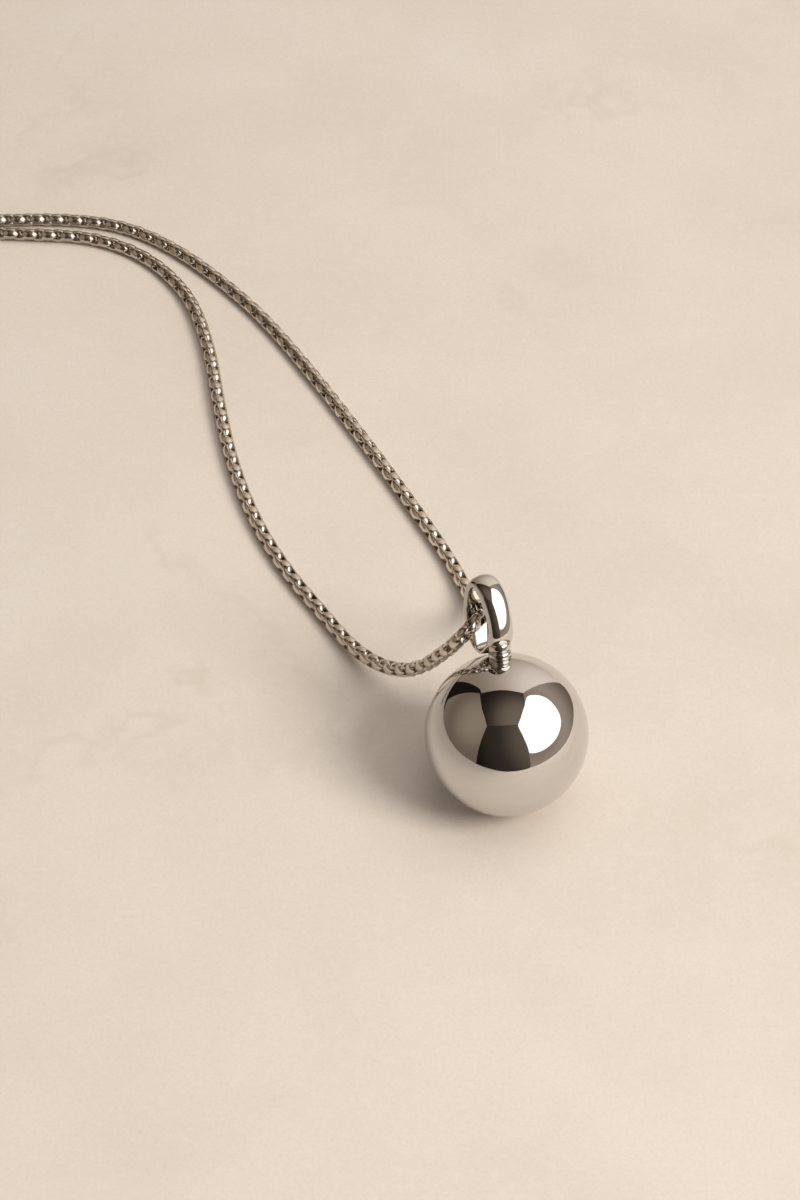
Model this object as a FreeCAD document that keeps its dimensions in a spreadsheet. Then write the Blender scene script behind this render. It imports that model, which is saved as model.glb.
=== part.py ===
import FreeCAD, Part
import math
import os

# Pendant necklace: a hollow polished ball that turns on a short peg under a leaf-shaped bail,
# a rounded box chain through the bail, and a lobster clasp and an end ring on the chain's two ends.
#
# Frame: millimetres, +Z up, +X to the right, +Y to the back. The origin is on the surface that the
# necklace lies on, under the middle of the pendant. The ball rests on the surface and the pendant
# leans back. The chain lies on the surface, rises to the bail, and comes down again behind it.

Vector = FreeCAD.Vector
Rotation = FreeCAD.Rotation
Placement = FreeCAD.Placement

doc = FreeCAD.newDocument("pendant_necklace")

# ---------------------------------------------------------------- driving dimensions (mm, degrees)

SIZES = [
    ("ball_radius", 8.5, "outside radius of the ball"),
    ("ball_wall", 0.5, "wall of the two half shells"),
    ("ball_forward", 0.6, "ball centre in front of the origin"),
    ("pendant_lean", 28.5, "lean of the pendant's axis from upright"),
    ("lean_heading", 100.25, "compass direction of the lean, from +X"),
    ("bail_turn", -151.7, "turn of the bail about the pendant's axis"),
    ("peg_radius", 0.5, "shank of the peg"),
    ("peg_head_radius", 0.9, "flat head of the peg, inside the ball"),
    ("peg_head_low", 5.75, "underside of the head, from the ball's centre"),
    ("peg_head_thick", 0.4, "thickness of the head"),
    ("peg_sink", 0.5, "depth of the peg in the foot of the bail"),
    ("turning_gap", 0.04, "running clearance of the swivel, on the radius and endwise"),
    ("washer_radius", 1.1, "washer between the head and the bush"),
    ("washer_thick", 0.25, "thickness of the washer"),
    ("bush_radius", 0.85, "bush soldered into the upper shell"),
    ("bush_top", 8.46, "top of the bush, from the ball's centre"),
    ("collar_radius", 1.15, "rounded collar between the ball and the bail"),
    ("collar_low", 8.54, "underside of the collar, from the ball's centre"),
    ("collar_height", 0.92, "height of the collar"),
    ("collar_round", 0.3, "rounding of the collar's outer edges"),
    ("bail_width", 2.3, "width of the bail's band"),
    ("bail_edge", 0.2, "rounding of the band's outer edges"),
    ("bail_clear", 0.07, "gap between the bail's loop and the side of the collar"),
    ("chain_width", 1.5, "width of the rounded box chain"),
    ("coil_x", -76.0, "middle of the put-away coil"),
    ("coil_y", 80.5, "middle of the put-away coil"),
    ("coil_inner", 6.65, "inside radius of the coil"),
    ("coil_outer", 9.75, "outside radius of the coil"),
    ("coil_height", 3.05, "height of the coil, two turns on each other"),
    ("cap_radius", 1.05, "end cap of the chain"),
    ("cap_length", 3.0, "length of the end cap"),
    ("cap_bore", 0.78, "bore of the end cap, over the chain"),
    ("cap_depth", 2.2, "depth of that bore"),
    ("loop_radius", 0.85, "mean radius of the end cap's loop"),
    ("loop_wire", 0.25, "wire radius of that loop"),
    ("link_ring_radius", 1.5, "mean radius of the ring between cap and clasp"),
    ("link_ring_wire", 0.3, "wire radius of that ring"),
    ("end_ring_radius", 1.8, "mean radius of the ring that the clasp hooks"),
    ("end_ring_wire", 0.35, "wire radius of that ring"),
    ("end_ring_drop", 9.5, "slope of that ring down to the surface"),
    ("clasp_thick", 2.0, "thickness of the clasp's body"),
    ("clasp_long", 9.2, "length of the clasp's oval body"),
    ("clasp_wide", 5.4, "width of the clasp's oval body"),
    ("clasp_from_eye", 0.9, "start of the oval body, from the middle of its eye"),
    ("mouth_long", 5.4, "length of the clasp's inner opening"),
    ("mouth_wide", 2.6, "width of the clasp's inner opening"),
    ("mouth_middle", 6.35, "middle of the inner opening, from the eye"),
    ("gate_start", 4.4, "start of the gap that the lever closes"),
    ("gate_end", 8.1, "end of that gap, at the nose of the hook"),
    ("nose_gap", 0.17, "gap between the lever's tip and the nose"),
    ("slot_thick", 0.9, "slot in the body that holds the lever"),
    ("lever_thick", 0.8, "thickness of the lever"),
    ("pivot_along", 3.0, "lever's rivet, from the middle of the eye"),
    ("pivot_side", 1.15, "lever's rivet, sideways from the clasp's middle"),
    ("rivet_radius", 0.3, "rivet of the lever"),
    ("hub_radius", 0.8, "hub of the lever"),
    ("eye_radius", 0.9, "mean radius of the clasp's eye"),
    ("eye_wire", 0.3, "wire radius of the clasp's eye"),
    ("spring_thick", 0.18, "thickness of the lever's bent leaf spring"),
    ("spring_room", 0.36, "room for the spring round the hub of the lever"),
    ("spring_gap", 0.02, "gap between the spring and the walls of the slot"),
]

sheet = doc.addObject("Spreadsheet::Sheet", "Sizes")
for row, (name, value, note) in enumerate(SIZES, start=1):
    sheet.set(f"A{row}", note)
    sheet.set(f"B{row}", str(value))
    sheet.setAlias(f"B{row}", name)
doc.recompute()


def size(name):
    return float(sheet.get(name))


# ---------------------------------------------------------------- helpers

nodes = []


def bind(feature, **expressions):
    """Bind properties of a feature to expressions of the sheet's cells, written as [name]."""
    for prop, text in expressions.items():
        feature.setExpression(prop.replace("__", "."), text.replace("[", "Sizes.").replace("]", ""))
    return feature


def primitive(kind, name, **expressions):
    return bind(doc.addObject("Part::" + kind, name), **expressions)


def cylinder(name, radius, low, height):
    """A cylinder on the Z axis from the height low."""
    return primitive("Cylinder", name, Radius=radius, Height=height, Placement__Base__z=low)


def cut(name, base, tool):
    result = doc.addObject("Part::Cut", name)
    result.Base = base
    result.Tool = tool
    return result


def common(name, first, second):
    result = doc.addObject("Part::MultiCommon", name)
    result.Shapes = [first, second]
    return result


def fuse(name, *shapes):
    result = doc.addObject("Part::MultiFuse", name)
    result.Shapes = list(shapes)
    result.Refine = True
    return result


def rounded(name, base, radius, wanted):
    """Fillet the edges of base for which wanted(edge) is true."""
    doc.recompute()
    result = doc.addObject("Part::Fillet", name)
    result.Base = base
    edges = enumerate(base.Shape.Edges, start=1)
    result.Edges = [(number, radius, radius) for number, edge in edges if wanted(edge)]
    return result


def node(feature, label, place=None):
    """Name a finished sub-part and put it in its place."""
    feature.Label = label
    if place is not None:
        feature.Placement = place
    nodes.append(feature)
    return feature


def shape_node(shape, label, place=None):
    feature = doc.addObject("Part::Feature", label)
    feature.Shape = shape
    return node(feature, label, place)


# ---------------------------------------------------------------- pendant: ball, swivel, bail

# Local frame of the pendant: Z along its axis from the ball's centre, X out of the front leg's face,
# Y through the hole of the bail, towards the back.
pendant_turn = (
    Rotation(Vector(0, 0, 1), size("lean_heading"))
    * Rotation(Vector(0, 1, 0), size("pendant_lean"))
    * Rotation(Vector(0, 0, 1), size("bail_turn"))
)
pendant = Placement(Vector(0, -size("ball_forward"), size("ball_radius")), pendant_turn)


def half_shell(name, low_angle, high_angle):
    """One half of the hollow ball, between two latitudes."""
    skin = primitive("Sphere", name + "_skin", Radius="[ball_radius]")
    hollow = primitive("Sphere", name + "_hollow", Radius="[ball_radius] - [ball_wall]")
    for ball in (skin, hollow):
        ball.Angle1 = low_angle
        ball.Angle2 = high_angle
    return cut(name + "_cut", skin, hollow)


def make_ball():
    node(half_shell("lower", -90, 0), "ball_lower_shell", pendant)
    seat = cylinder("bush_seat", "[bush_radius]", "[ball_radius] - 3 * [ball_wall]", "4 * [ball_wall]")
    node(cut("upper_bored", half_shell("upper", 0, 90), seat), "ball_upper_shell", pendant)


def make_swivel():
    """Bush in the upper shell, peg with its head inside the ball, washer, and rounded collar."""
    head_top = "[peg_head_low] + [peg_head_thick]"
    washer_low = head_top + " + [turning_gap]"
    bush_low = washer_low + " + [washer_thick] + [turning_gap]"
    bore = "[peg_radius] + [turning_gap]"

    tube = cylinder("bush_tube", "[bush_radius]", bush_low, "[bush_top] - (" + bush_low + ")")
    bush_bore = cylinder("bush_bore", bore, "[peg_head_low]", "[collar_low]")
    node(cut("bush", tube, bush_bore), "peg_bush", pendant)

    washer_disc = cylinder("washer_disc", "[washer_radius]", washer_low, "[washer_thick]")
    washer_bore = cylinder("washer_bore", bore, "[peg_head_low]", "[collar_low]")
    node(cut("washer", washer_disc, washer_bore), "peg_washer", pendant)

    peg_top = "[collar_low] + [collar_height] + [peg_sink]"
    shank = cylinder("shank", "[peg_radius]", "[peg_head_low]", peg_top + " - [peg_head_low]")
    head = cylinder("head", "[peg_head_radius]", "[peg_head_low]", "[peg_head_thick]")
    node(fuse("peg", shank, head), "swivel_peg", pendant)

    ring = cylinder("collar_blank", "[collar_radius]", "[collar_low]", "[collar_height]")
    ring_round = rounded("collar_round", ring, size("collar_round"), lambda edge: edge.Curve.TypeId.endswith("Circle"))
    collar_bore = cylinder("collar_bore", "[peg_radius]", "[peg_head_low]", "2 * [collar_low]")
    node(cut("collar", ring_round, collar_bore), "collar_ring", pendant)


# Side view of the bail, (sideways, up) from the ball's centre: a leaf-shaped loop with a straight front
# leg on a foot. An entry with one point is the end of a line, and one with more is a smooth curve.
COLLAR_TOP = size("collar_low") + size("collar_height")
COLLAR_SIDE = -size("collar_radius") - size("bail_clear")

BAIL_OUTLINE = [
    [(0.92, COLLAR_TOP)],
    [(0.86, 12.0)],
    [(0.62, 13.7), (0.05, 15.2), (-0.82, 16.3), (-2.1, 16.86), (-3.35, 16.1), (-4.02, 14.4), (-4.22, 12.4),
     (-3.85, 10.6), (-3.05, 9.2), (-2.1, 8.58), (COLLAR_SIDE, 8.48)],
    [(COLLAR_SIDE, COLLAR_TOP)],
]

BAIL_HOLE = [
    [(-0.46, 10.9)],
    [(-0.42, 12.2)],
    [(-0.62, 13.7), (-1.2, 14.95), (-2.08, 15.95), (-3.1, 14.95), (-3.48, 12.8), (-3.1, 10.5), (-1.85, 9.08),
     (-0.9, 9.85), (-0.46, 10.9)],
]


def side_sketch(body, name, steps):
    """A closed sketch on the body's side plane, through the given lines and curves."""
    plane = next(item for item in body.Origin.OriginFeatures if item.Role == "XZ_Plane")
    sketch = body.newObject("Sketcher::SketchObject", name)
    sketch.AttachmentSupport = [(plane, "")]
    sketch.MapMode = "FlatFace"
    paths = [[Vector(across, up, 0) for across, up in step] for step in steps]
    first = paths[0][-1]
    start = first
    direction = Vector(0, 1, 0)
    for path in paths[1:]:
        if len(path) == 1:
            direction = path[-1] - start
            sketch.addGeometry(Part.LineSegment(start, path[-1]))
        else:
            curve = Part.BSplineCurve()
            last_way = direction if path[-1] == first else Vector(1, 0, 0)
            curve.interpolate(Points=[start] + path, InitialTangent=direction, FinalTangent=last_way)
            sketch.addGeometry(curve)
        start = path[-1]
    if start != first:
        sketch.addGeometry(Part.LineSegment(start, first))
    return sketch


def is_outer_rim(edge):
    """An edge of the band's side faces along the loop's outside or the leg."""
    half = size("bail_width") / 2
    middle = edge.valueAt((edge.FirstParameter + edge.LastParameter) / 2)
    on_side = all(abs(abs(vertex.Point.y) - half) < 0.001 for vertex in edge.Vertexes)
    by_collar = middle.x > -2 and middle.z < COLLAR_TOP + 0.01
    return on_side and abs(middle.y) > half - 0.001 and not by_collar


def make_bail():
    body = doc.addObject("PartDesign::Body", "bail_band")
    band = body.newObject("PartDesign::Pad", "band")
    band.Profile = side_sketch(body, "bail_outline", BAIL_OUTLINE)
    band.SideType = "Symmetric"
    bind(band, Length="[bail_width]")
    rim = rounded("bail_rounded", body, size("bail_edge"), is_outer_rim)

    hole_body = doc.addObject("PartDesign::Body", "bail_core")
    core = hole_body.newObject("PartDesign::Pad", "core")
    core.Profile = side_sketch(hole_body, "bail_hole", BAIL_HOLE)
    core.SideType = "Symmetric"
    bind(core, Length="2 * [bail_width]")

    open_band = cut("bail_open", rim, hole_body)
    socket = cylinder("peg_socket", "[peg_radius]", "[collar_low] + [collar_height]", "[peg_sink]")
    node(cut("bail", open_band, socket), "bail_loop", pendant)


# ---------------------------------------------------------------- chain

HALF = size("chain_width") / 2
CAP_AXIS = size("cap_radius")

# The front strand: from the middle of the bail's hole, down to the surface, and along it to the coil.
FRONT_ROUTE = [
    (-2.5, 7.1, 19.0), (-3.9, 5.3, 18.4), (-5.5, 5.0, 16.0), (-6.8, 6.5, 12.9), (-8.2, 8.5, 9.2),
    (-10.3, 10.8, 5.7), (-13.1, 14.2, 2.8), (-16.4, 18.7, 1.1), (-19.4, 23.8, HALF), (-23.3, 29.8, HALF),
    (-27.1, 37.6, HALF), (-30.0, 46.8, HALF), (-31.9, 56.6, HALF), (-33.3, 66.3, HALF), (-35.6, 74.8, HALF),
    (-39.1, 80.4, HALF), (-43.3, 84.3, HALF), (-48.9, 86.7, HALF), (-55.6, 87.1, HALF), (-62.4, 87.5, HALF),
    (-69.1, 88.1, HALF),
]

# The rear strand: from the middle of the bail's hole, down behind the bail, and along the surface.
REAR_ROUTE = [
    (-2.5, 7.1, 19.0), (-1.1, 8.9, 19.6), (-1.0, 11.3, 18.1), (-1.1, 13.7, 14.6), (-1.3, 16.2, 10.4),
    (-1.6, 18.9, 6.4), (-2.2, 22.3, 3.1), (-3.4, 26.6, 1.2), (-5.4, 32.0, HALF), (-9.3, 40.0, HALF),
    (-14.6, 50.2, HALF), (-20.7, 61.4, HALF), (-27.1, 72.1, HALF), (-33.8, 80.3, HALF), (-39.5, 85.6, HALF),
    (-45.1, 88.9, HALF), (-51.9, 90.0, HALF), (-59.2, 89.8, HALF), (-66.1, 89.6, HALF), (-72.9, 89.5, HALF),
]

# The two tails: off the top of the coil and down to the end caps.
FRONT_TAIL = [
    (-83.4, 80.5, 2.3), (-83.9, 77.4, 3.6), (-84.5, 74.3, 3.7), (-85.2, 71.4, 2.4), (-85.5, 67.8, CAP_AXIS),
    (-85.5, 63.9, CAP_AXIS),
]
REAR_TAIL = [
    (-76.0, 71.5, 2.3), (-73.0, 71.4, 2.2), (-70.4, 69.9, 1.6), (-69.0, 67.2, CAP_AXIS), (-69.0, 63.4, CAP_AXIS),
]


def tube(points, radius, title):
    """A round bar along straight runs joined by tangent arcs, each as large as its two runs allow."""
    corners = [Vector(*point) for point in points]
    edges = []
    radii = []
    start = corners[0]
    for before, corner, after in zip(corners, corners[1:], corners[2:]):
        back = before - corner
        onward = after - corner
        shorter = min(back.Length, onward.Length)
        half_turn = (math.pi - back.getAngle(onward)) / 2
        bend = 0.45 * shorter / math.tan(half_turn)
        radii.append(bend)
        back.normalize()
        onward.normalize()
        arc_start = corner + back * (0.45 * shorter)
        arc_end = corner + onward * (0.45 * shorter)
        inward = back + onward
        inward.normalize()
        arc_middle = corner + inward * (bend / math.cos(half_turn) - bend)
        edges.append(Part.LineSegment(start, arc_start).toShape())
        edges.append(Part.Arc(arc_start, arc_middle, arc_end).toShape())
        start = arc_end
    edges.append(Part.LineSegment(start, corners[-1]).toShape())
    path = Part.Wire(edges)
    section = Part.Wire(Part.Circle(corners[0], corners[1] - corners[0], radius).toShape())
    solid = path.makePipeShell([section], True, False)
    volume_ratio = solid.Volume / (math.pi * radius ** 2 * path.Length)
    print(title, "length", round(path.Length, 1), "volume ratio", round(volume_ratio, 4))
    print(title, "arc radii", [round(bend, 1) for bend in radii])
    return solid


def make_chain():
    for route, label in (
        (FRONT_ROUTE, "chain_front_strand"),
        (REAR_ROUTE, "chain_rear_strand"),
        (FRONT_TAIL, "chain_front_tail"),
        (REAR_TAIL, "chain_rear_tail"),
    ):
        shape_node(tube(route, HALF, label), label)
    outer = cylinder("coil_disc", "[coil_outer]", "0", "[coil_height]")
    inner = cylinder("coil_middle", "[coil_inner]", "0", "[coil_height]")
    place = Placement(Vector(size("coil_x"), size("coil_y"), 0), Rotation())
    node(cut("coil", outer, inner), "chain_coil", place)


# ---------------------------------------------------------------- chain ends

# Both tails end in the -Y direction. An end piece's local frame has X along the chain, away from it,
# with its origin on the mouth of the end cap.
ONWARD = Rotation(Vector(0, 0, 1), -90)
CAP_OVERLAP = size("cap_depth")


def end_frame(tail):
    """Place of the end cap whose bore takes the end of a tail."""
    x, y, z = tail[-1]
    return Placement(Vector(x, y, z), ONWARD) * Placement(Vector(-CAP_OVERLAP, 0, 0), Rotation())


def make_cap(label, place, loop_flat):
    """A cup over the chain's end, with a soldered wire loop, flat or upright."""
    along_x = Rotation(Vector(0, 1, 0), 90)
    cup = primitive("Cylinder", label + "_cup", Radius="[cap_radius]", Height="[cap_length]")
    cup.Placement.Rotation = along_x
    edge_round = 0.25
    cup_round = rounded(label + "_round", cup, edge_round, lambda edge: edge.Curve.TypeId.endswith("Circle"))
    bore = primitive("Cylinder", label + "_bore", Radius="[cap_bore]", Height="[cap_depth]")
    bore.Placement.Rotation = along_x
    hollow = cut(label + "_hollow", cup_round, bore)
    loop = primitive("Torus", label + "_loop", Radius1="[loop_radius]", Radius2="[loop_wire]")
    bind(loop, Placement__Base__x="[cap_length] + [loop_radius]")
    if not loop_flat:
        loop.Placement.Rotation = Rotation(Vector(1, 0, 0), 90)
    node(fuse(label + "_whole", hollow, loop), label, place)


def loop_middle(place):
    """Middle of the loop of an end cap."""
    return place.multVec(Vector(size("cap_length") + size("loop_radius"), 0, 0))


def make_end_ring(place):
    """The ring that the clasp hooks: it hangs in the upright loop and slopes down to the surface."""
    drop = math.radians(size("end_ring_drop"))
    reach = size("end_ring_radius")
    hub = loop_middle(place)
    middle = hub + Vector(0, -reach * math.cos(drop), -reach * math.sin(drop))
    ring = primitive("Torus", "end_ring_torus", Radius1="[end_ring_radius]", Radius2="[end_ring_wire]")
    turn = Rotation(Vector(1, 0, 0), size("end_ring_drop"))
    node(ring, "end_ring", Placement(middle, turn))
    lowest = middle.z - reach * math.sin(drop) - size("end_ring_wire")
    print("end ring: hinge", tuple(hub), "lowest point", round(lowest, 3))


def ring_offset():
    """Sideways distance from a link ring's middle to its wire at the height of the loops."""
    rise = size("link_ring_radius") + size("link_ring_wire") - REAR_TAIL[-1][2]
    return math.sqrt(size("link_ring_radius") ** 2 - rise ** 2)


def make_link_ring(place):
    """The upright ring that joins the end cap to the clasp. It stands on the surface."""
    hub = loop_middle(place)
    height = size("link_ring_radius") + size("link_ring_wire")
    ring = primitive("Torus", "link_ring_torus", Radius1="[link_ring_radius]", Radius2="[link_ring_wire]")
    middle = Vector(hub.x, hub.y - ring_offset(), height)
    node(ring, "clasp_jump_ring", Placement(middle, Rotation(Vector(0, 1, 0), 90)))
    print("link ring: hinges", tuple(hub), (hub.x, hub.y - 2 * ring_offset(), hub.z))


# ---------------------------------------------------------------- lobster clasp

# Local frame of the clasp: origin at the middle of its eye, X towards the hook, Z up.


def clasp_frame(place):
    hub = loop_middle(place)
    half_thick = size("clasp_thick") / 2
    return Placement(Vector(hub.x, hub.y - 2 * ring_offset(), half_thick), ONWARD)


def oval(name, long, wide, middle, thick):
    """An upright elliptical bar, centred on the clasp's middle plane."""
    disc = doc.addObject("Part::Ellipse", name + "_edge")
    bind(disc, MajorRadius=f"{long} / 2", MinorRadius=f"{wide} / 2")
    bar = doc.addObject("Part::Extrusion", name)
    bar.Base = disc
    bar.DirMode = "Custom"
    bar.Dir = Vector(0, 0, 1)
    bar.Solid = True
    bar.Symmetric = True
    bind(bar, LengthFwd=thick, Placement__Base__x=middle)
    return bar


def flat_box(name, low_x, low_y, long, wide, thick):
    return primitive(
        "Box",
        name,
        Length=long,
        Width=wide,
        Height=thick,
        Placement__Base__x=low_x,
        Placement__Base__y=low_y,
        Placement__Base__z=f"-({thick}) / 2",
    )


def upright_pin(name, radius, x, y, height):
    return primitive(
        "Cylinder",
        name,
        Radius=radius,
        Height=height,
        Placement__Base__x=x,
        Placement__Base__y=y,
        Placement__Base__z=f"-({height}) / 2",
    )


def make_clasp(place):
    body_middle = "[clasp_from_eye] + [clasp_long] / 2"
    blank = oval("clasp_oval", "[clasp_long]", "[clasp_wide]", body_middle, "[clasp_thick]")
    mouth = oval("clasp_mouth", "[mouth_long]", "[mouth_wide]", "[mouth_middle]", "[clasp_thick] * 2")
    gate = flat_box("gate_gap", "[gate_start]", "0", "[gate_end] - [gate_start]", "[clasp_wide]", "[clasp_thick] * 2")
    slot = flat_box(
        "lever_slot", "[pivot_along] - [hub_radius] - [spring_room]", "[pivot_side] - [hub_radius] - [spring_room]",
        "[gate_start]", "[clasp_wide]", "[slot_thick]",
    )
    eye = primitive("Torus", "clasp_eye", Radius1="[eye_radius]", Radius2="[eye_wire]")
    eye_room = upright_pin("eye_room", "[eye_radius] - [eye_wire]", "0", "0", "[clasp_thick] * 2")
    rivet_hole = upright_pin("rivet_hole", "[rivet_radius]", "[pivot_along]", "[pivot_side]", "[clasp_thick] * 2")
    with_mouth = cut("clasp_with_mouth", blank, mouth)
    with_gate = cut("clasp_with_gate", with_mouth, gate)
    with_slot = cut("clasp_with_slot", with_gate, slot)
    with_eye = fuse("clasp_with_eye", with_slot, eye)
    opened = cut("clasp_opened", with_eye, eye_room)
    node(cut("clasp_bored", opened, rivet_hole), "clasp_body", place)

    rivet = upright_pin("rivet_pin", "[rivet_radius]", "[pivot_along]", "[pivot_side]", "[clasp_thick]")
    node(rivet, "clasp_rivet", place * rivet_seat(rivet))

    make_lever(place)
    make_spring(place)
    hub = place.multVec(Vector(size("pivot_along"), size("pivot_side"), 0))
    print("clasp lever hinge", tuple(hub))


def rivet_seat(rivet):
    """Where the rivet stands in the clasp."""
    doc.recompute()
    rivet_place = rivet.Placement
    rivet.setExpression("Placement.Base.x", None)
    rivet.setExpression("Placement.Base.y", None)
    rivet.setExpression("Placement.Base.z", None)
    return rivet_place


def make_lever(place):
    """The lever that closes the gap: a hub on the rivet, an arm to the nose, and a thumb tab."""
    bore = "[rivet_radius] + [turning_gap]"
    shell = oval("lever_shell", "[clasp_long]", "[clasp_wide]", "[clasp_from_eye] + [clasp_long] / 2", "[lever_thick]")
    inside = oval("lever_inside", "[mouth_long]", "[mouth_wide]", "[mouth_middle]", "[clasp_thick] * 2")
    reach = flat_box(
        "lever_reach", "[pivot_along]", "[pivot_side]", "[gate_end] - [nose_gap] - [pivot_along]", "[clasp_wide]",
        "[lever_thick]",
    )
    arm = common("lever_arm", cut("lever_ring", shell, inside), reach)
    hub = upright_pin("lever_hub", "[hub_radius]", "[pivot_along]", "[pivot_side]", "[lever_thick]")
    tab = flat_box("lever_tab", "[pivot_along] + 0.5", "[pivot_side] + 0.9", "0.7", "1.3", "[lever_thick]")
    whole = fuse("lever_whole", arm, hub, tab)
    hole = upright_pin("lever_hole", bore, "[pivot_along]", "[pivot_side]", "[clasp_thick] * 2")
    node(cut("lever", whole, hole), "clasp_lever", place)


def make_spring(place):
    """A bent leaf spring in the slot, round the back of the lever's hub."""
    left = "[pivot_along] - [hub_radius] - [spring_room] + [spring_gap]"
    low = "[pivot_side] - [hub_radius] - [spring_room] + [spring_gap]"
    back_leg = flat_box("spring_back", left, low, "[spring_thick]", "2 * [hub_radius]", "[lever_thick]")
    front_leg = flat_box("spring_front", left, low, "2 * [hub_radius]", "[spring_thick]", "[lever_thick]")
    node(fuse("spring", back_leg, front_leg), "clasp_spring", place)


# ---------------------------------------------------------------- build, check and write

make_ball()
make_swivel()
make_bail()
make_chain()
front_end = end_frame(FRONT_TAIL)
rear_end = end_frame(REAR_TAIL)
make_cap("front_end_cap", front_end, loop_flat=False)
make_end_ring(front_end)
make_cap("rear_end_cap", rear_end, loop_flat=True)
make_link_ring(rear_end)
make_clasp(clasp_frame(rear_end))
doc.recompute()

for feature in doc.Objects:
    if "Invalid" in feature.State or "Error" in feature.State:
        raise RuntimeError(f"{feature.Label} failed: {feature.State}")
for feature in nodes:
    if feature.Shape.isNull() or not feature.Shape.isValid():
        raise RuntimeError(f"{feature.Label} has no valid shape")

os.makedirs("parts", exist_ok=True)
for feature in nodes:
    feature.Shape.exportStep(f"parts/{feature.Label}.step")
    box = feature.Shape.BoundBox
    print(
        feature.Label, len(feature.Shape.Solids), "solid, volume", round(feature.Shape.Volume, 2),
        "box", [round(v, 2) for v in (box.XMin, box.XMax, box.YMin, box.YMax, box.ZMin, box.ZMax)],
    )
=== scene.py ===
import bmesh
import bpy
import math
from mathutils import Matrix, Vector


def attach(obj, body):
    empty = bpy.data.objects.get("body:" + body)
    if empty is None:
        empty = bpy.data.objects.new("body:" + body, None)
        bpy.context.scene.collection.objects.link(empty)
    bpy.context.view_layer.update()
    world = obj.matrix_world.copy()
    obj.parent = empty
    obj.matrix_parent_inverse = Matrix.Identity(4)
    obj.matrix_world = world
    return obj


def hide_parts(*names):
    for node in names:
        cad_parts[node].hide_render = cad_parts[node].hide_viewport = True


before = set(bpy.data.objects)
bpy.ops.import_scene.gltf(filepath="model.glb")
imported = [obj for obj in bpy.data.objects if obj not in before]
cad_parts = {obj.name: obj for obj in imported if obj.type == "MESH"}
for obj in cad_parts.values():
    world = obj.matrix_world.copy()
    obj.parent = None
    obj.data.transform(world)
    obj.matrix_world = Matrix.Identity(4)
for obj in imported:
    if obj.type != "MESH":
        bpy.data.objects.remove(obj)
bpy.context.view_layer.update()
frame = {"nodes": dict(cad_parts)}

MM = 0.001

# ---------------------------------------------------------------- camera


CAMERA_PLACE = (-11.0, -251.7, 292.3)
CAMERA_TILT = 43.6
LENS = 110


def make_camera():
    data = bpy.data.cameras.new("camera")
    data.sensor_width = 36
    data.lens = LENS
    data.clip_start = 0.01
    data.clip_end = 20
    camera = bpy.data.objects.new("camera", data)
    camera.location = [part * MM for part in CAMERA_PLACE]
    camera.rotation_euler = (math.radians(CAMERA_TILT), 0, 0)
    bpy.context.scene.collection.objects.link(camera)
    bpy.context.scene.camera = camera


make_camera()

# ---------------------------------------------------------------- small tools


def keep(mesh, name, material):
    """A finished mesh as an object at the origin."""
    obj = bpy.data.objects.new(name, mesh)
    bpy.context.scene.collection.objects.link(obj)
    mesh.materials.append(material)
    return obj


def finish_mesh(bm, name):
    """A smooth closed mesh with its doubles merged and its faces outwards."""
    bmesh.ops.remove_doubles(bm, verts=bm.verts, dist=1e-7)
    bmesh.ops.recalc_face_normals(bm, faces=bm.faces)
    mesh = bpy.data.meshes.new(name)
    bm.to_mesh(mesh)
    bm.free()
    for polygon in mesh.polygons:
        polygon.use_smooth = True
    return mesh


RING_BAR = 0.25


def round_ring(sides, steps):
    """A spun ring of radius 1 about the Y axis, with a round section, to be pressed into shape."""
    bm = bmesh.new()
    bar = bmesh.ops.create_circle(bm, segments=sides, radius=RING_BAR)["verts"]
    bmesh.ops.translate(bm, verts=bar, vec=(1, 0, 0))
    bmesh.ops.spin(
        bm, geom=list(bm.edges), cent=(0, 0, 0), axis=(0, 1, 0), angle=math.tau, steps=steps, use_merge=True
    )
    return bm


# ---------------------------------------------------------------- materials


def new_group(name, inputs, outputs):
    """A node group with named inputs (name, kind, default) and outputs (name, kind)."""
    group = bpy.data.node_groups.new(name, "ShaderNodeTree")
    for label, kind, default in inputs:
        socket = group.interface.new_socket(label, in_out="INPUT", socket_type=kind)
        socket.default_value = default
    for label, kind in outputs:
        group.interface.new_socket(label, in_out="OUTPUT", socket_type=kind)
    return group, group.nodes.new("NodeGroupInput"), group.nodes.new("NodeGroupOutput")


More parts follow.
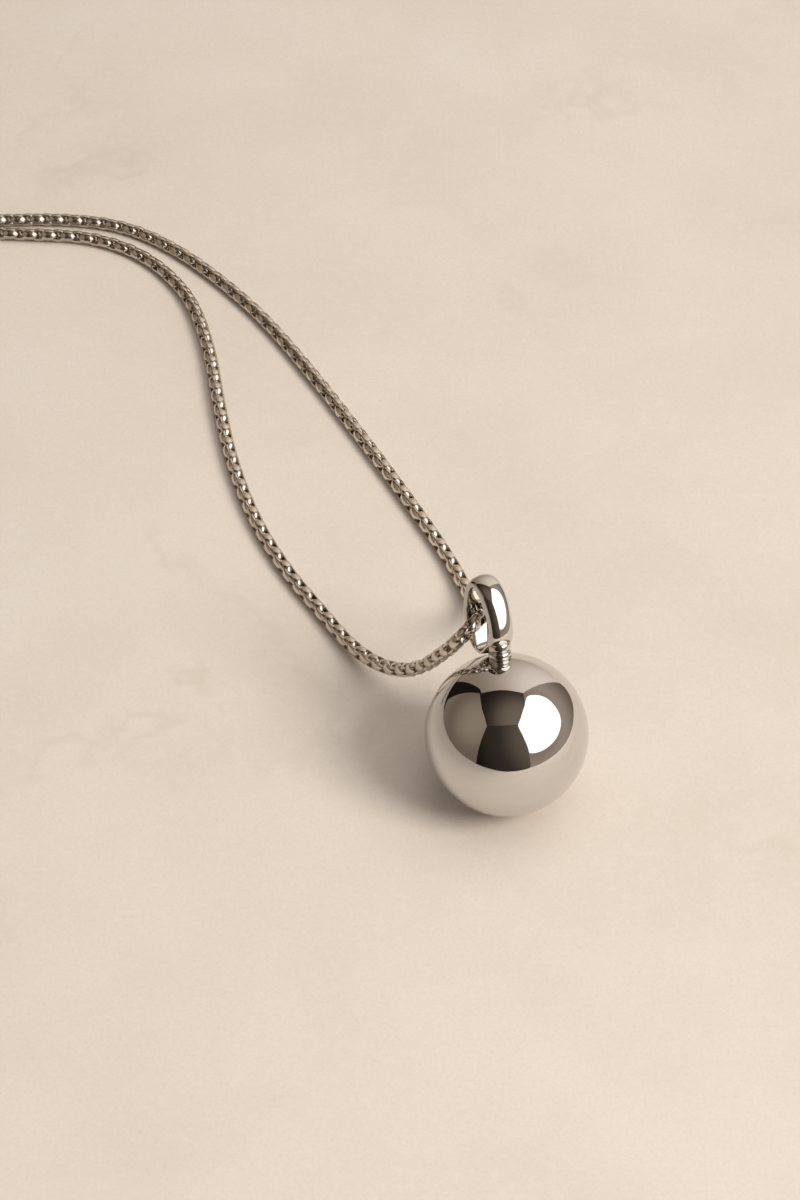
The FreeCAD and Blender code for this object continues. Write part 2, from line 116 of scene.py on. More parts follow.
def polish_wear_group():
    """Faint smudges and hairlines of handled polished metal."""
    group, given, result = new_group(
        "polish wear",
        [
            ("Smudge Size", "NodeSocketFloat", 400.0),
            ("Roughness Low", "NodeSocketFloat", 0.02),
            ("Roughness High", "NodeSocketFloat", 0.06),
            ("Tint", "NodeSocketColor", (0.8, 0.75, 0.68, 1)),
            ("Tarnish", "NodeSocketColor", (0.74, 0.68, 0.6, 1)),
        ],
        [("Color", "NodeSocketColor"), ("Roughness", "NodeSocketFloat"), ("Height", "NodeSocketFloat")],
    )
    links = group.links
    place = group.nodes.new("ShaderNodeTexCoord")
    smudge = group.nodes.new("ShaderNodeTexNoise")
    smudge.inputs["Detail"].default_value = 4
    links.new(place.outputs["Object"], smudge.inputs["Vector"])
    links.new(given.outputs["Smudge Size"], smudge.inputs["Scale"])
    spread = group.nodes.new("ShaderNodeMapRange")
    spread.inputs["From Min"].default_value = 0.35
    spread.inputs["From Max"].default_value = 0.7
    links.new(smudge.outputs["Fac"], spread.inputs["Value"])
    links.new(given.outputs["Roughness Low"], spread.inputs["To Min"])
    links.new(given.outputs["Roughness High"], spread.inputs["To Max"])
    links.new(spread.outputs["Result"], result.inputs["Roughness"])
    tone = group.nodes.new("ShaderNodeMix")
    tone.data_type = "RGBA"
    links.new(smudge.outputs["Fac"], tone.inputs["Factor"])
    links.new(given.outputs["Tint"], tone.inputs["A"])
    links.new(given.outputs["Tarnish"], tone.inputs["B"])
    links.new(tone.outputs["Result"], result.inputs["Color"])
    hairline = group.nodes.new("ShaderNodeTexNoise")
    hairline.inputs["Detail"].default_value = 2
    hairline.inputs["Scale"].default_value = 6000
    links.new(place.outputs["Object"], hairline.inputs["Vector"])
    links.new(hairline.outputs["Fac"], result.inputs["Height"])
    return group


POLISH_WEAR = polish_wear_group()


def polished_metal(name, tint, tarnish, low, high, smudge, hairlines):
    """A polished metal whose smudges change its roughness a little."""
    material = bpy.data.materials.new(name)
    material.use_nodes = True
    nodes = material.node_tree.nodes
    links = material.node_tree.links
    shader = nodes["Principled BSDF"]
    shader.inputs["Metallic"].default_value = 1
    wear = nodes.new("ShaderNodeGroup")
    wear.node_tree = POLISH_WEAR
    wear.inputs["Smudge Size"].default_value = smudge
    wear.inputs["Roughness Low"].default_value = low
    wear.inputs["Roughness High"].default_value = high
    wear.inputs["Tint"].default_value = (*tint, 1)
    wear.inputs["Tarnish"].default_value = (*tarnish, 1)
    links.new(wear.outputs["Color"], shader.inputs["Base Color"])
    links.new(wear.outputs["Roughness"], shader.inputs["Roughness"])
    bump = nodes.new("ShaderNodeBump")
    bump.inputs["Strength"].default_value = hairlines
    bump.inputs["Distance"].default_value = 0.000002
    links.new(wear.outputs["Height"], bump.inputs["Height"])
    links.new(bump.outputs["Normal"], shader.inputs["Normal"])
    return material


# tint, tarnish, lowest and highest roughness, smudge scale, hairline strength
BALL_MIRROR = polished_metal(
    "mirror polished ball", (0.72, 0.7, 0.68), (0.69, 0.67, 0.65), 0.02, 0.05, 150, 0.05
)
BAIL_POLISH = polished_metal(
    "polished bail", (0.74, 0.71, 0.68), (0.7, 0.67, 0.64), 0.03, 0.07, 300, 0.08
)
LINK_POLISH = polished_metal(
    "tumble polished links", (0.88, 0.82, 0.74), (0.72, 0.65, 0.57), 0.14, 0.26, 500, 0.2
)
FITTING_POLISH = polished_metal(
    "polished fittings", (0.73, 0.7, 0.66), (0.67, 0.63, 0.59), 0.05, 0.11, 400, 0.12
)
SPRING_STEEL = polished_metal(
    "drawn spring steel", (0.5, 0.48, 0.46), (0.42, 0.4, 0.38), 0.2, 0.35, 900, 0.3
)

# ---------------------------------------------------------------- cords: the chain's two strands

CHAIN_WIDTH = 1.5
HALF = CHAIN_WIDTH / 2
CAP_AXIS = 1.05
COIL_X, COIL_Y = -76.0, 80.5
COIL_CLIMB = 1.55
COIL_STEPS = 16
FRONT_COIL_RADIUS = 7.4
REAR_COIL_RADIUS = 9.0

FRONT_ROUTE = [
    (-2.5, 7.1, 18.4), (-3.9, 5.3, 18.1), (-5.5, 5.0, 16.0), (-6.8, 6.5, 12.9), (-8.2, 8.5, 9.2),
    (-10.3, 10.8, 5.7), (-13.1, 14.2, 2.8), (-16.4, 18.7, 1.1), (-19.4, 23.8, HALF), (-23.3, 29.8, HALF),
    (-27.1, 37.6, HALF), (-30.0, 46.8, HALF), (-31.9, 56.6, HALF), (-33.3, 66.3, HALF), (-35.6, 74.8, HALF),
    (-39.1, 80.4, HALF), (-43.3, 84.3, HALF), (-48.9, 86.7, HALF), (-55.6, 87.1, HALF), (-62.4, 87.5, HALF),
    (-69.1, 88.1, HALF),
]
REAR_ROUTE = [
    (-2.5, 7.1, 18.4), (-1.1, 8.8, 18.2), (-1.1, 11.0, 16.1), (-1.2, 13.4, 12.2), (-1.5, 16.0, 8.6),
    (-1.8, 18.9, 5.4), (-2.4, 22.3, 2.7), (-3.5, 26.6, 1.1), (-5.4, 32.0, HALF), (-9.3, 40.0, HALF),
    (-14.6, 50.2, HALF), (-20.7, 61.4, HALF), (-27.1, 72.1, HALF), (-33.8, 80.3, HALF), (-39.5, 85.6, HALF),
    (-45.1, 88.9, HALF), (-51.9, 90.0, HALF), (-59.2, 89.8, HALF), (-66.1, 89.6, HALF), (-72.9, 89.5, HALF),
]
FRONT_TAIL = [
    (-83.4, 80.5, 2.3), (-83.9, 77.4, 3.6), (-84.5, 74.3, 3.7), (-85.2, 71.4, 2.4), (-85.5, 67.8, CAP_AXIS),
    (-85.5, 63.9, CAP_AXIS),
]
REAR_TAIL = [
    (-76.0, 71.5, 2.3), (-73.0, 71.4, 2.2), (-70.4, 69.9, 1.6), (-69.0, 67.2, CAP_AXIS),
    (-69.0, 63.4, CAP_AXIS),
]


def coil_turns(radius, turns, climb_from, climb_to):
    """Wound turns from the coil's far side, anticlockwise, that climb once to lie on the first turn."""
    points = []
    for step in range(1, round(turns * COIL_STEPS)):
        share = step / COIL_STEPS
        angle = math.radians(90 + 360 * share)
        climb = min(max((share - climb_from) / (climb_to - climb_from), 0), 1)
        height = HALF + COIL_CLIMB * climb
        points.append((COIL_X + radius * math.cos(angle), COIL_Y + radius * math.sin(angle), height))
    return points


def smooth_line(name, route):
    """Points along a smooth curve that has the route as its control points."""
    data = bpy.data.curves.new(name, "CURVE")
    data.dimensions = "3D"
    spline = data.splines.new("NURBS")
    spline.points.add(len(route) - 1)
    for point, place in zip(spline.points, route):
        point.co = (place[0] * MM, place[1] * MM, place[2] * MM, 1)
    spline.order_u = 3
    spline.use_endpoint_u = True
    spline.resolution_u = 16
    curve = bpy.data.objects.new(name, data)
    bpy.context.scene.collection.objects.link(curve)
    mesh = bpy.data.meshes.new_from_object(curve)
    line = [vertex.co.copy() for vertex in mesh.vertices]
    bpy.data.objects.remove(curve)
    return line


def line_length(line):
    return sum((b - a).length for a, b in zip(line, line[1:]))


def places_along(line, spacing):
    """Middle and direction of each link, at equal spacing along the line."""
    total = line_length(line)
    count = int(total / spacing)
    wanted = [spacing * (number + 0.5) for number in range(count)]
    found = []
    travelled = 0
    index = 0
    for start, end in zip(line, line[1:]):
        step = (end - start).length
        while index < count and wanted[index] <= travelled + step:
            part = (wanted[index] - travelled) / step
            found.append(start.lerp(end, part))
            index += 1
        travelled += step
    ways = []
    for number, place in enumerate(found):
        before = found[max(number - 1, 0)]
        after = found[min(number + 1, len(found) - 1)]
        ways.append((after - before).normalized())
    return list(zip(found, ways))


LINK_PITCH = 1.165
LINK_LONG = 2.3
LINK_HALF = 0.81
LINK_WALL = 0.32
LINK_SQUARENESS = 2.5
LINK_SIDES = 8
LINK_STEPS = 12
SIDE_HALF_WIDTH = 0.72
END_HALF_WIDTH = 0.34
SIDE_CROWN = 0.3


def link_template():
    """One rounded box link, along X, with its two domed sides up and down."""
    bm = round_ring(LINK_SIDES, LINK_STEPS)
    long_half = LINK_LONG / 2 - LINK_WALL / 2
    high_half = LINK_HALF - LINK_WALL / 2
    for vertex in bm.verts:
        turn = math.atan2(vertex.co.z, vertex.co.x)
        out = (math.hypot(vertex.co.x, vertex.co.z) - 1) / RING_BAR
        across = vertex.co.y / RING_BAR
        cos, sin = math.cos(turn), math.sin(turn)
        square = (abs(cos) ** LINK_SQUARENESS + abs(sin) ** LINK_SQUARENESS) ** (-1 / LINK_SQUARENESS)
        wide = END_HALF_WIDTH + (SIDE_HALF_WIDTH - END_HALF_WIDTH) * (1 - cos ** 4)
        outward = Vector((cos / long_half, 0, sin / high_half)).normalized()
        crown = SIDE_CROWN * across * across * abs(sin)
        middle = Vector((long_half * cos * square, across * wide, high_half * sin * square))
        vertex.co = middle + outward * (out * LINK_WALL / 2 - crown)
    bmesh.ops.scale(bm, verts=bm.verts, vec=(MM, MM, MM))
    bmesh.ops.recalc_face_normals(bm, faces=bm.faces)
    mesh = bpy.data.meshes.new("box link")
    bm.to_mesh(mesh)
    bm.free()
    return mesh


def lay_of(travelled, twist):
    """How far the strand has rolled there, in radians. Its twist is stops of millimetres and degrees."""
    for (start, first), (end, second) in zip(twist, twist[1:]):
        if travelled < end:
            return math.radians(first + (second - first) * (travelled - start) / (end - start))
    return math.radians(twist[-1][1])


def string_links(name, line, template, twist):
    """A strand: box links along the line, each turned a quarter from the one before."""
    bm = bmesh.new()
    for number, (place, way) in enumerate(places_along(line, LINK_PITCH * MM)):
        up = Vector((0, 0, 1)) - way * way.z
        up.normalize()
        side = up.cross(way)
        turn = Matrix((way, side, up)).transposed().to_4x4()
        roll = lay_of(LINK_PITCH * number, twist)
        quarter = Matrix.Rotation(math.radians(90 * (number % 2)) + roll, 4, "X")
        before = len(bm.verts)
        bm.from_mesh(template)
        bm.verts.ensure_lookup_table()
        lay = Matrix.Translation(place) @ turn @ quarter
        bmesh.ops.transform(bm, matrix=lay, verts=bm.verts[before:])
    mesh = bpy.data.meshes.new(name)
    bm.to_mesh(mesh)
    bm.free()
    for polygon in mesh.polygons:
        polygon.use_smooth = True
    return keep(mesh, name, LINK_POLISH)


FRONT_COIL = coil_turns(FRONT_COIL_RADIUS, turns=1.25, climb_from=0.7, climb_to=0.95)
REAR_COIL = coil_turns(REAR_COIL_RADIUS, turns=1.5, climb_from=0.65, climb_to=0.85)
FRONT_LINE = smooth_line("front line", FRONT_ROUTE + FRONT_COIL + FRONT_TAIL)
REAR_LINE = smooth_line("rear line", REAR_ROUTE + REAR_COIL + REAR_TAIL)
BOX_LINK = link_template()
FRONT_TWIST = [(0, 20), (22, 0), (40, 5), (90, 45)]
REAR_TWIST = [(0, 0), (30, 10), (70, 45)]

front_strand = string_links("front_strand_links", FRONT_LINE, BOX_LINK, FRONT_TWIST)
rear_strand = string_links("rear_strand_links", REAR_LINE, BOX_LINK, REAR_TWIST)
for strand in (front_strand, rear_strand):
    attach(strand, "chain")
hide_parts("chain_front_strand", "chain_front_tail", "chain_coil")
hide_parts("chain_rear_strand", "chain_rear_tail")
nodes = frame["nodes"]

# ---------------------------------------------------------------- pendant

BALL_RADIUS = 8.5
BALL_FORWARD = 0.6
HEADING = 100.25
LEAN = 28.5
BAIL_TURN = -151.7
PENDANT = (
    Matrix.Translation((0, -BALL_FORWARD * MM, BALL_RADIUS * MM))
    @ Matrix.Rotation(math.radians(HEADING), 4, "Z")
    @ Matrix.Rotation(math.radians(LEAN), 4, "Y")
    @ Matrix.Rotation(math.radians(BAIL_TURN), 4, "Z")
    @ Matrix.Scale(MM, 4)
)


def place_pendant(bm):
    bmesh.ops.transform(bm, matrix=PENDANT, verts=bm.verts)


def make_ball():
    bm = bmesh.new()
    bmesh.ops.create_uvsphere(bm, u_segments=192, v_segments=96, radius=BALL_RADIUS)
    place_pendant(bm)
    ball = keep(finish_mesh(bm, "polished_ball"), "polished_ball", BALL_MIRROR)
    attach(ball, "ball")
    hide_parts("ball_upper_shell", "ball_lower_shell")


def spun_ring(bm, low, top, inner, outer, squareness):
    """A ring round the pendant's axis: a circle pressed towards a square section and spun."""
    section = bmesh.ops.create_circle(bm, segments=24, radius=1)["verts"]
    for vertex in section:
        x, y = vertex.co.x, vertex.co.y
        squarer = (abs(x) ** squareness + abs(y) ** squareness) ** (-1 / squareness)
        across = (inner + outer) / 2 + (outer - inner) / 2 * x * squarer
        up = (low + top) / 2 + (top - low) / 2 * y * squarer
        vertex.co = (across, 0, up)
    edges = list({edge for vertex in section for edge in vertex.link_edges})
    bmesh.ops.spin(
        bm, geom=section + edges, cent=(0, 0, 0), axis=(0, 0, 1), angle=math.tau, steps=72, use_merge=True
    )


def make_collar():
    """A tall rounded ring under the bail, on a thinner ring that sits on the ball."""
    bm = bmesh.new()
    spun_ring(bm, low=9.2, top=10.14, inner=0.4, outer=1.17, squareness=4)
    spun_ring(bm, low=8.36, top=9.24, inner=0.4, outer=1.23, squareness=3)
    place_pendant(bm)
    collar = keep(finish_mesh(bm, "collar"), "collar", BAIL_POLISH)
    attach(collar, "bail")
    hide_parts("collar_ring")


# Stations round the bail's loop: (inner point, outer point), sideways and up from the ball's centre.
BAIL_STATIONS = [
    ((-0.5, 10.45), (1.03, 10.25)), ((-0.43, 11.1), (1.17, 10.75)), ((-0.4, 11.7), (1.23, 11.3)),
    ((-0.41, 12.3), (1.2, 12.0)), ((-0.47, 12.9), (1.1, 12.7)), ((-0.58, 13.4), (0.95, 13.4)),
    ((-0.78, 14.0), (0.71, 14.15)), ((-1.02, 14.5), (0.38, 14.9)), ((-1.28, 15.0), (-0.08, 15.6)),
    ((-1.6, 15.5), (-0.72, 16.25)), ((-1.95, 15.85), (-1.5, 16.72)), ((-2.35, 15.88), (-2.4, 16.92)),
    ((-2.8, 15.4), (-3.25, 16.55)), ((-3.14, 14.7), (-3.93, 15.65)), ((-3.37, 13.9), (-4.36, 14.4)),
    ((-3.5, 12.9), (-4.55, 13.0)), ((-3.47, 11.8), (-4.5, 11.4)), ((-3.25, 10.8), (-4.2, 10.05)),
    ((-2.8, 9.9), (-3.6, 9.1)), ((-2.3, 9.3), (-2.85, 8.55)), ((-1.85, 9.08), (-1.95, 8.4)),
    ((-1.5, 9.16), (-1.2, 8.7)), ((-1.15, 9.52), (-0.6, 9.35)), ((-0.85, 9.82), (0.1, 9.85)),
    ((-0.62, 10.1), (0.9, 10.0)),
]

# Half of the band's section, from the middle of its outer face to the middle of its inner face: how far
# in from the outer face, how far in from the inner face where that is what counts, and how far sideways.
BAND_SECTION = [
    (0.0, None, 0.0), (0.035, None, 0.38), (0.13, None, 0.72), (0.28, None, 0.98), (0.46, None, 1.17),
    (0.6, None, 1.27), (0.66, None, 1.31), (0.74, None, 1.325), (None, 0.2, 1.32), (None, 0.03, 1.29),
    (None, 0.0, 1.2), (None, 0.0, 0.0),
]
BAND_HALF_WIDTH = 1.325
BAND_SHIFT = 0.11
RIDGE_SHIFT = 0.22
FULL_WALL = 1.3
TOP_WIDENING = 0.2
WIDENS_FROM = 13
WIDENS_OVER = 3


def make_bail():
    """A domed band round the leaf-shaped hole: a spun ring whose sections are pressed to the stations."""
    turns = len(BAIL_STATIONS)
    section = BAND_SECTION + [(outer, inner, -side) for outer, inner, side in BAND_SECTION[-2:0:-1]]
    bm = round_ring(len(section), turns)
    for vertex in bm.verts:
        turn = math.atan2(vertex.co.z, vertex.co.x)
        bend = math.atan2(vertex.co.y, math.hypot(vertex.co.x, vertex.co.z) - 1)
        inside, outside = BAIL_STATIONS[round(turn / math.tau * turns) % turns]
        from_outer, from_inner, side = section[round(bend / math.tau * len(section)) % len(section)]
        inward = Vector((inside[0] - outside[0], 0, inside[1] - outside[1]))
        wall = inward.length
        thin = min(1, wall / FULL_WALL)
        depth = from_outer * thin if from_inner is None else wall - from_inner * thin
        if side > 0:
            rise = min(max((outside[1] - WIDENS_FROM) / WIDENS_OVER, 0), 1)
            side *= 1 + TOP_WIDENING * rise
        if from_inner is None:
            side += RIDGE_SHIFT * max(0, 1 - (side / BAND_HALF_WIDTH) ** 2)
        outermost = Vector((outside[0], side + BAND_SHIFT, outside[1]))
        vertex.co = outermost + inward * (depth / wall)
    place_pendant(bm)
    bail = keep(finish_mesh(bm, "bail_band"), "bail_band", BAIL_POLISH)
    rounding = bail.modifiers.new("smooth", "SUBSURF")
    rounding.levels = 2
    rounding.render_levels = 2
    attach(bail, "bail")
    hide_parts("bail_loop")


make_ball()
make_collar()
make_bail()

for name, node in nodes.items():
    finish = FITTING_POLISH
    if name in ("clasp_rivet", "clasp_spring"):
        finish = SPRING_STEEL
    node.data.materials.clear()
    node.data.materials.append(finish)

# ---------------------------------------------------------------- floor, studio and lights

FLOOR_TONE = (0.795, 0.69, 0.59)
FLOOR_PALE = (0.86, 0.77, 0.68)
FLOOR_CLOUD = (0.66, 0.55, 0.44)
FLOOR_VEIN = (0.55, 0.42, 0.29)
# Painted shade: the dark brown that the board turns towards, to its left, where polished metal mirrors it.
FLOOR_MIRRORED_SHADE = (0.12, 0.09, 0.065)
VEIN_WIDTH = 0.012
# Where that painted shade in mirrors starts and ends, sideways in metres, and how strong it gets.
MIRROR_SHADE_FROM, MIRROR_SHADE_TO, MIRROR_SHADE_MOST = 0.02, -0.06, 0.42


def floor_material():
    """Pale plaster board with warm clouds, brown veins and a fine grain, with painted shade to the left
    where polished metal mirrors it.
    """
    material = bpy.data.materials.new("pale plaster board")
    material.use_nodes = True
    tree = material.node_tree
    shader = tree.nodes["Principled BSDF"]
    shader.inputs["Roughness"].default_value = 0.85
    place = tree.nodes.new("ShaderNodeTexCoord")

    def noise(scale, detail, low, high, strength):
        """Noise of that scale that rises from none at low to its strength at high."""
        texture = tree.nodes.new("ShaderNodeTexNoise")
        texture.inputs["Scale"].default_value = scale
        texture.inputs["Detail"].default_value = detail
        texture.inputs["Roughness"].default_value = 0.6
        tree.links.new(place.outputs["Object"], texture.inputs["Vector"])
        span = tree.nodes.new("ShaderNodeMapRange")
        span.inputs["From Min"].default_value = low
        span.inputs["From Max"].default_value = high
        span.inputs["To Max"].default_value = strength
        tree.links.new(texture.outputs["Fac"], span.inputs["Value"])
        return span.outputs["Result"]

    def stain(under, factor, tone):
        """The tone laid over a colour, or over what a socket gives, as strongly as the factor."""
        layer = tree.nodes.new("ShaderNodeMix")
        layer.data_type = "RGBA"
        layer.inputs["B"].default_value = (*tone, 1)
        if isinstance(under, tuple):
            layer.inputs["A"].default_value = (*under, 1)
        else:
            tree.links.new(under, layer.inputs["A"])
        tree.links.new(factor, layer.inputs["Factor"])
        return layer.outputs["Result"]

    ridge = tree.nodes.new("ShaderNodeMath")
    ridge.operation = "SUBTRACT"
    ridge.inputs[1].default_value = 0.5
    tree.links.new(noise(9, 6, 0, 1, 1), ridge.inputs[0])
    fold = tree.nodes.new("ShaderNodeMath")
    fold.operation = "ABSOLUTE"
    tree.links.new(ridge.outputs["Value"], fold.inputs[0])
    vein = tree.nodes.new("ShaderNodeMapRange")
    vein.inputs["From Min"].default_value = VEIN_WIDTH
    vein.inputs["From Max"].default_value = 0
    tree.links.new(fold.outputs["Value"], vein.inputs["Value"])
    broken = tree.nodes.new("ShaderNodeMath")
    broken.operation = "MULTIPLY"
    tree.links.new(vein.outputs["Result"], broken.inputs[0])
    tree.links.new(noise(25, 3, 0.5, 0.75, 0.4), broken.inputs[1])
    tone = stain(FLOOR_TONE, noise(35, 8, 0.4, 0.75, 0.5), FLOOR_CLOUD)
    tone = stain(tone, noise(14, 4, 0.5, 0.8, 0.5), FLOOR_PALE)
    tone = stain(tone, broken.outputs["Value"], FLOOR_VEIN)
    tone = stain(tone, noise(2600, 2, 0.45, 0.75, 0.3), FLOOR_CLOUD)
    tone = stain(tone, noise(900, 3, 0.5, 0.8, 0.3), FLOOR_PALE)
    # Painted shade: rays mirrored by polished metal see the board darkened towards a dark brown, more and
    # more to the left, in place of the shadowed floor there.
    ray = tree.nodes.new("ShaderNodeLightPath")
    split = tree.nodes.new("ShaderNodeSeparateXYZ")
    tree.links.new(place.outputs["Object"], split.inputs["Vector"])
    shade_to_left = tree.nodes.new("ShaderNodeMapRange")
    shade_to_left.interpolation_type = "SMOOTHSTEP"
    shade_to_left.inputs["From Min"].default_value = MIRROR_SHADE_FROM
    shade_to_left.inputs["From Max"].default_value = MIRROR_SHADE_TO
    shade_to_left.inputs["To Max"].default_value = MIRROR_SHADE_MOST
    tree.links.new(split.outputs["X"], shade_to_left.inputs["Value"])
    mirrored = tree.nodes.new("ShaderNodeMath")
    mirrored.operation = "MULTIPLY"
    tree.links.new(shade_to_left.outputs["Result"], mirrored.inputs[0])
    tree.links.new(ray.outputs["Is Glossy Ray"], mirrored.inputs[1])
    mirror_shade = tree.nodes.new("ShaderNodeMix")
    mirror_shade.data_type = "RGBA"
    mirror_shade.inputs["B"].default_value = (*FLOOR_MIRRORED_SHADE, 1)
    tree.links.new(mirrored.outputs["Value"], mirror_shade.inputs["Factor"])
    tree.links.new(tone, mirror_shade.inputs["A"])
    tree.links.new(mirror_shade.outputs["Result"], shader.inputs["Base Color"])
    return material


def flat_sheet(name, corners, height, material):
    """A flat stage sheet with the given corners, in millimetres, at a height in metres."""
    bm = bmesh.new()
    bm.faces.new([bm.verts.new((x * MM, y * MM, height)) for x, y in corners])
    mesh = bpy.data.meshes.new(name)
    bmesh.ops.recalc_face_normals(bm, faces=bm.faces)
    bm.to_mesh(mesh)
    bm.free()
    sheet = keep(mesh, name, material)
    return sheet


BOARD_MATERIAL = floor_material()
# The board that the necklace lies on has edges, which the ball mirrors. The wide floor round it isn't
# mirrored, and lies a hair lower.
BOARD_EDGE = [
    (-350, 900), (-350, 8), (-260, -90), (-187, -160), (-69, -176), (-3, -142), (40, -150), (82, -158),
    (139, -109), (139, -59), (133, -17), (119, 18), (103, 41), (72, 49), (62, 57), (66, 75), (139, 180),
    (350, 500), (350, 900),
]
WIDE = 4000
WIDE_EDGE = [(-WIDE, -WIDE), (WIDE, -WIDE), (WIDE, WIDE), (-WIDE, WIDE)]
flat_sheet("board", BOARD_EDGE, 0.0, BOARD_MATERIAL)
wide = flat_sheet("wide_floor", WIDE_EDGE, -0.00002, BOARD_MATERIAL)
wide.visible_glossy = False


def glow(name, axis, start, end, tones, strength=1):
    """A soft glow whose colour passes through even steps of tone along an axis of the studio."""
    material = bpy.data.materials.new(name)
    material.use_nodes = True
    tree = material.node_tree
    tree.nodes.clear()
    out = tree.nodes.new("ShaderNodeOutputMaterial")
    emission = tree.nodes.new("ShaderNodeEmission")
    emission.inputs["Strength"].default_value = strength
    place = tree.nodes.new("ShaderNodeTexCoord")
    toward = tree.nodes.new("ShaderNodeVectorMath")
    toward.operation = "NORMALIZE"
    tree.links.new(place.outputs["Object"], toward.inputs[0])
    dot = tree.nodes.new("ShaderNodeVectorMath")
    dot.operation = "DOT_PRODUCT"
    dot.inputs[1].default_value = Vector(axis).normalized()
    tree.links.new(toward.outputs["Vector"], dot.inputs[0])
    span = tree.nodes.new("ShaderNodeMapRange")
    span.inputs["From Min"].default_value = start
    span.inputs["From Max"].default_value = end
    tree.links.new(dot.outputs["Value"], span.inputs["Value"])
    steps = tree.nodes.new("ShaderNodeValToRGB")
    steps.color_ramp.interpolation = "B_SPLINE"
    for _ in range(len(tones) - 2):
        steps.color_ramp.elements.new(0.5)
    for number, (stop, tone) in enumerate(zip(steps.color_ramp.elements, tones)):
        stop.position = number / (len(tones) - 1)
        stop.color = (*tone, 1)
    tree.links.new(span.outputs["Result"], steps.inputs["Fac"])
    tree.links.new(steps.outputs["Color"], emission.inputs["Color"])
    tree.links.new(emission.outputs["Emission"], out.inputs["Surface"])
    return material


def direction(azimuth, elevation, distance):
    """A point seen from the ball at that azimuth, from the front towards the right, and elevation."""
    a, e = math.radians(azimuth), math.radians(elevation)
    return Vector((math.sin(a) * math.cos(e), -math.cos(a) * math.cos(e), math.sin(e))) * distance


def rounded(outline, passes=3):
    """The outline with its corners cut off again and again, except for its two ends."""
    for _ in range(passes):
        smoother = [outline[0]]
        for (a, e), (next_a, next_e) in zip(outline, outline[1:]):
            smoother.append((a * 0.75 + next_a * 0.25, e * 0.75 + next_e * 0.25))
            smoother.append((a * 0.25 + next_a * 0.75, e * 0.25 + next_e * 0.75))
        outline = smoother + [outline[-1]]
    return outline


def studio_panel(name, outline, distance, material):
    """A panel that only shows in polished metal, its corners given as azimuth and elevation in degrees."""
    bm = bmesh.new()
    corners = [bm.verts.new(direction(azimuth, elevation, distance)) for azimuth, elevation in outline]
    middle = sum((vertex.co for vertex in corners), Vector()) / len(corners)
    hub = bm.verts.new(middle.normalized() * distance)
    for first, second in zip(corners, corners[1:] + corners[:1]):
        bm.faces.new((first, second, hub))
    bmesh.ops.subdivide_edges(bm, edges=list(bm.edges), cuts=4, use_grid_fill=True)
    for vertex in bm.verts:
        vertex.co = vertex.co.normalized() * distance
    mesh = bpy.data.meshes.new(name)
    bm.to_mesh(mesh)
    bm.free()
    panel = keep(mesh, name, material)
    panel.visible_camera = False
    panel.visible_diffuse = False
    panel.visible_shadow = False
    panel.visible_transmission = False


WHITE = (1.0, 0.97, 0.94)
SOFTBOX_STRENGTH = 1.8

# Each panel: its outline, its distance from the ball in metres, and how it glows.
studio_panel(
    "softbox",
    rounded([
        (76, 69), (109, 67), (124, 61), (123, 53), (121, 44), (116, 34), (109, 26), (102, 18.6), (93, 14),
        (79, 11.7), (66, 11.4), (51, 12.4), (39, 14.6), (31, 17.9),
    ]) + [(30.7, 29), (29, 42), (27, 55), (28, 59), (45, 65)],
    0.6,
    glow("softbox glow", (0, 0, 1), 0, 1, [WHITE, WHITE], SOFTBOX_STRENGTH),
)
studio_panel(
    "right_wall",
    [
        (136, 62.5), (138, 41), (139, 26), (141, 11), (143, -4), (142, -12), (134, -14), (114, -14),
        (84, -12), (52, -12), (28, -12), (29.5, 3), (30, 18), (29, 42), (27, 55), (28, 59), (45, 65),
        (76, 69), (109, 67),
    ],
    0.7,
    glow(
        "right wall glow", (0.35, -0.48, 0.81), -0.16, 0.72,
        [(0.149, 0.117, 0.087), (0.264, 0.213, 0.164), (0.454, 0.383, 0.319), (0.26, 0.205, 0.16)],
    ),
)
studio_panel(
    "left_wall",
    [
        (-110, -4), (-127, 2.8), (-127, 16), (-127, 28), (-127, 40), (-127, 49), (-109, 55), (-87, 57),
        (-65, 56), (-48, 50.4), (-45, 38.5), (-42.4, 21), (-40.4, 4), (-40, -12), (-75, -12),
    ],
    0.8,
    glow(
        "left wall glow", (0.71, 0.23, -0.67), -1.0, -0.6,
        [(0.34, 0.275, 0.21), (0.215, 0.17, 0.125), (0.161, 0.125, 0.09), (0.22, 0.17, 0.126)],
    ),
)
studio_panel(
    "front_wall",
    [
        (-60, -14), (-60, 20), (-60, 44), (-48, 50.4), (-20, 59), (5, 61.5), (28, 59.2), (45, 56),
        (50, 30), (50, 0), (50, -14), (-5, -14),
    ],
    0.9,
    glow(
        "front wall glow", (0.75, -0.43, 0.5), -0.06, 0.86,
        [(0.006, 0.005, 0.004), (0.04, 0.031, 0.024), (0.034, 0.027, 0.021), (0.16, 0.127, 0.096)],
    ),
)
studio_panel(
    "ceiling",
    [
        (-48, 50.4), (-65, 56), (-87, 57), (-109, 55), (-127, 49), (-139, 59), (-155, 64.6), (-178, 67.8),
        (156, 67.4), (136, 62.5), (109, 67), (76, 69), (45, 65), (28, 59.2), (5, 61), (-20, 59),
    ],
    1.2,
    glow(
        "ceiling glow", (0.24, -0.33, 0.91), 0.59, 1.0,
        [(0.016, 0.012, 0.009), (0.032, 0.024, 0.018), (0.08, 0.062, 0.047), (0.23, 0.185, 0.145)],
    ),
)
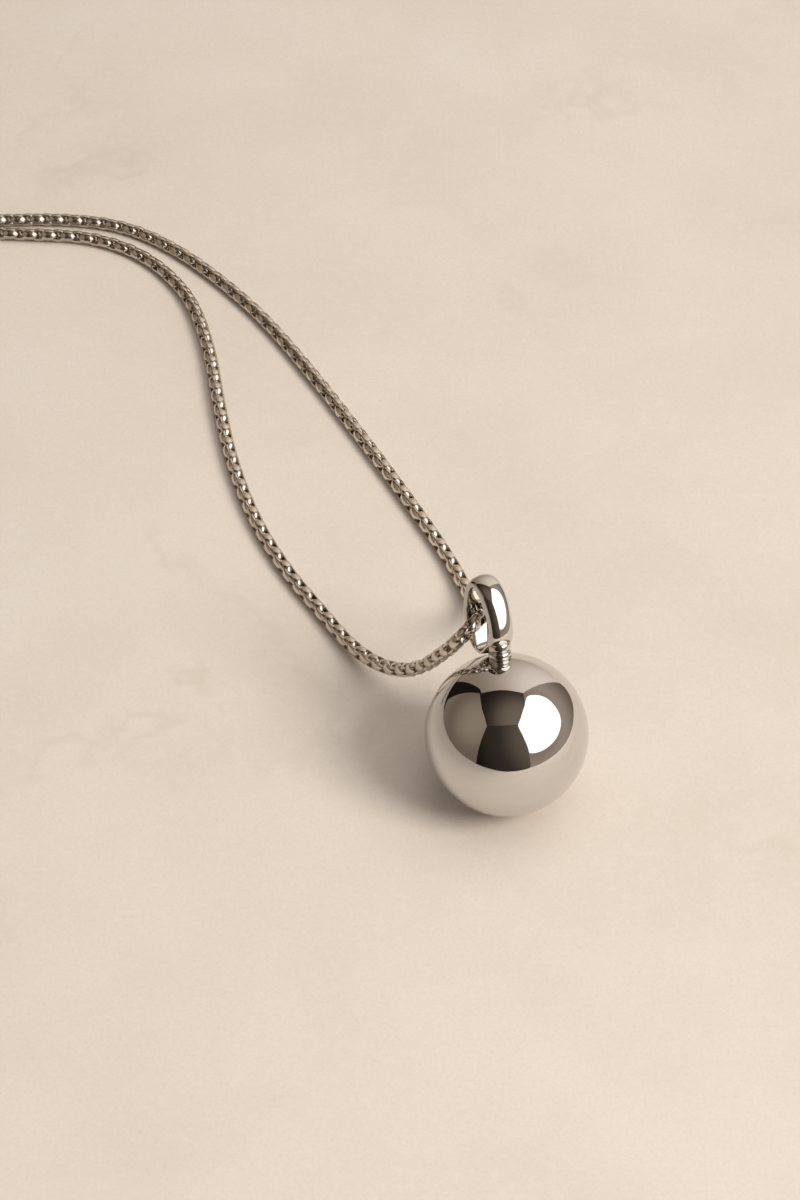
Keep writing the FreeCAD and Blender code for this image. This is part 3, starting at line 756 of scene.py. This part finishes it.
studio_panel(
    "backdrop",
    [
        (-200, -3), (-145, 0.9), (-142.5, 16), (-139.4, 32), (-135.4, 45), (-128.3, 51), (-138.6, 59),
        (-155, 64.6), (-178, 67.8), (156, 67.4), (136, 62.5), (138, 41), (139, 26), (141, 11), (143, -3),
        (170, -3),
    ],
    1.1,
    glow(
        "backdrop glow", (0.75, 0.43, 0.5), 0.09, 0.94,
        [(0.27, 0.21, 0.16), (0.343, 0.275, 0.215), (0.559, 0.465, 0.385), (1.0, 0.89, 0.8)],
    ),
)


def area_light(name, azimuth, elevation, distance, size, power, tone):
    """A round soft light aimed at the ball's foot, which polished metal doesn't mirror."""
    data = bpy.data.lights.new(name, "AREA")
    data.shape = "DISK"
    data.size = size
    data.energy = power
    data.color = tone
    light = bpy.data.objects.new(name, data)
    light.location = direction(azimuth, elevation, distance)
    light.rotation_mode = "QUATERNION"
    light.rotation_quaternion = light.location.to_track_quat("Z", "Y")
    light.visible_glossy = False
    bpy.context.scene.collection.objects.link(light)


area_light(
    "softbox light", azimuth=58, elevation=42, distance=0.9, size=0.42, power=6.3, tone=(1, 0.985, 0.965)
)
area_light("top light", azimuth=110, elevation=76, distance=1.2, size=1.2, power=4.4, tone=(1, 0.99, 0.975))

WORLD_FILL = (1, 0.98, 0.96)
WORLD_FILL_STRENGTH = 0.28
WORLD_MIRRORED = (0.012, 0.009, 0.007)


def make_world():
    """Dark to polished metal, and a faint warm fill to everything else."""
    world = bpy.data.worlds.new("studio")
    world.use_nodes = True
    bpy.context.scene.world = world
    tree = world.node_tree
    tree.nodes.clear()
    out = tree.nodes.new("ShaderNodeOutputWorld")
    fill = tree.nodes.new("ShaderNodeBackground")
    fill.inputs["Color"].default_value = (*WORLD_FILL, 1)
    fill.inputs["Strength"].default_value = WORLD_FILL_STRENGTH
    dark = tree.nodes.new("ShaderNodeBackground")
    dark.inputs["Color"].default_value = (*WORLD_MIRRORED, 1)
    path = tree.nodes.new("ShaderNodeLightPath")
    mix = tree.nodes.new("ShaderNodeMixShader")
    tree.links.new(path.outputs["Is Glossy Ray"], mix.inputs["Fac"])
    tree.links.new(fill.outputs["Background"], mix.inputs[1])
    tree.links.new(dark.outputs["Background"], mix.inputs[2])
    tree.links.new(mix.outputs["Shader"], out.inputs["Surface"])


make_world()
bpy.context.scene.view_settings.view_transform = "Standard"
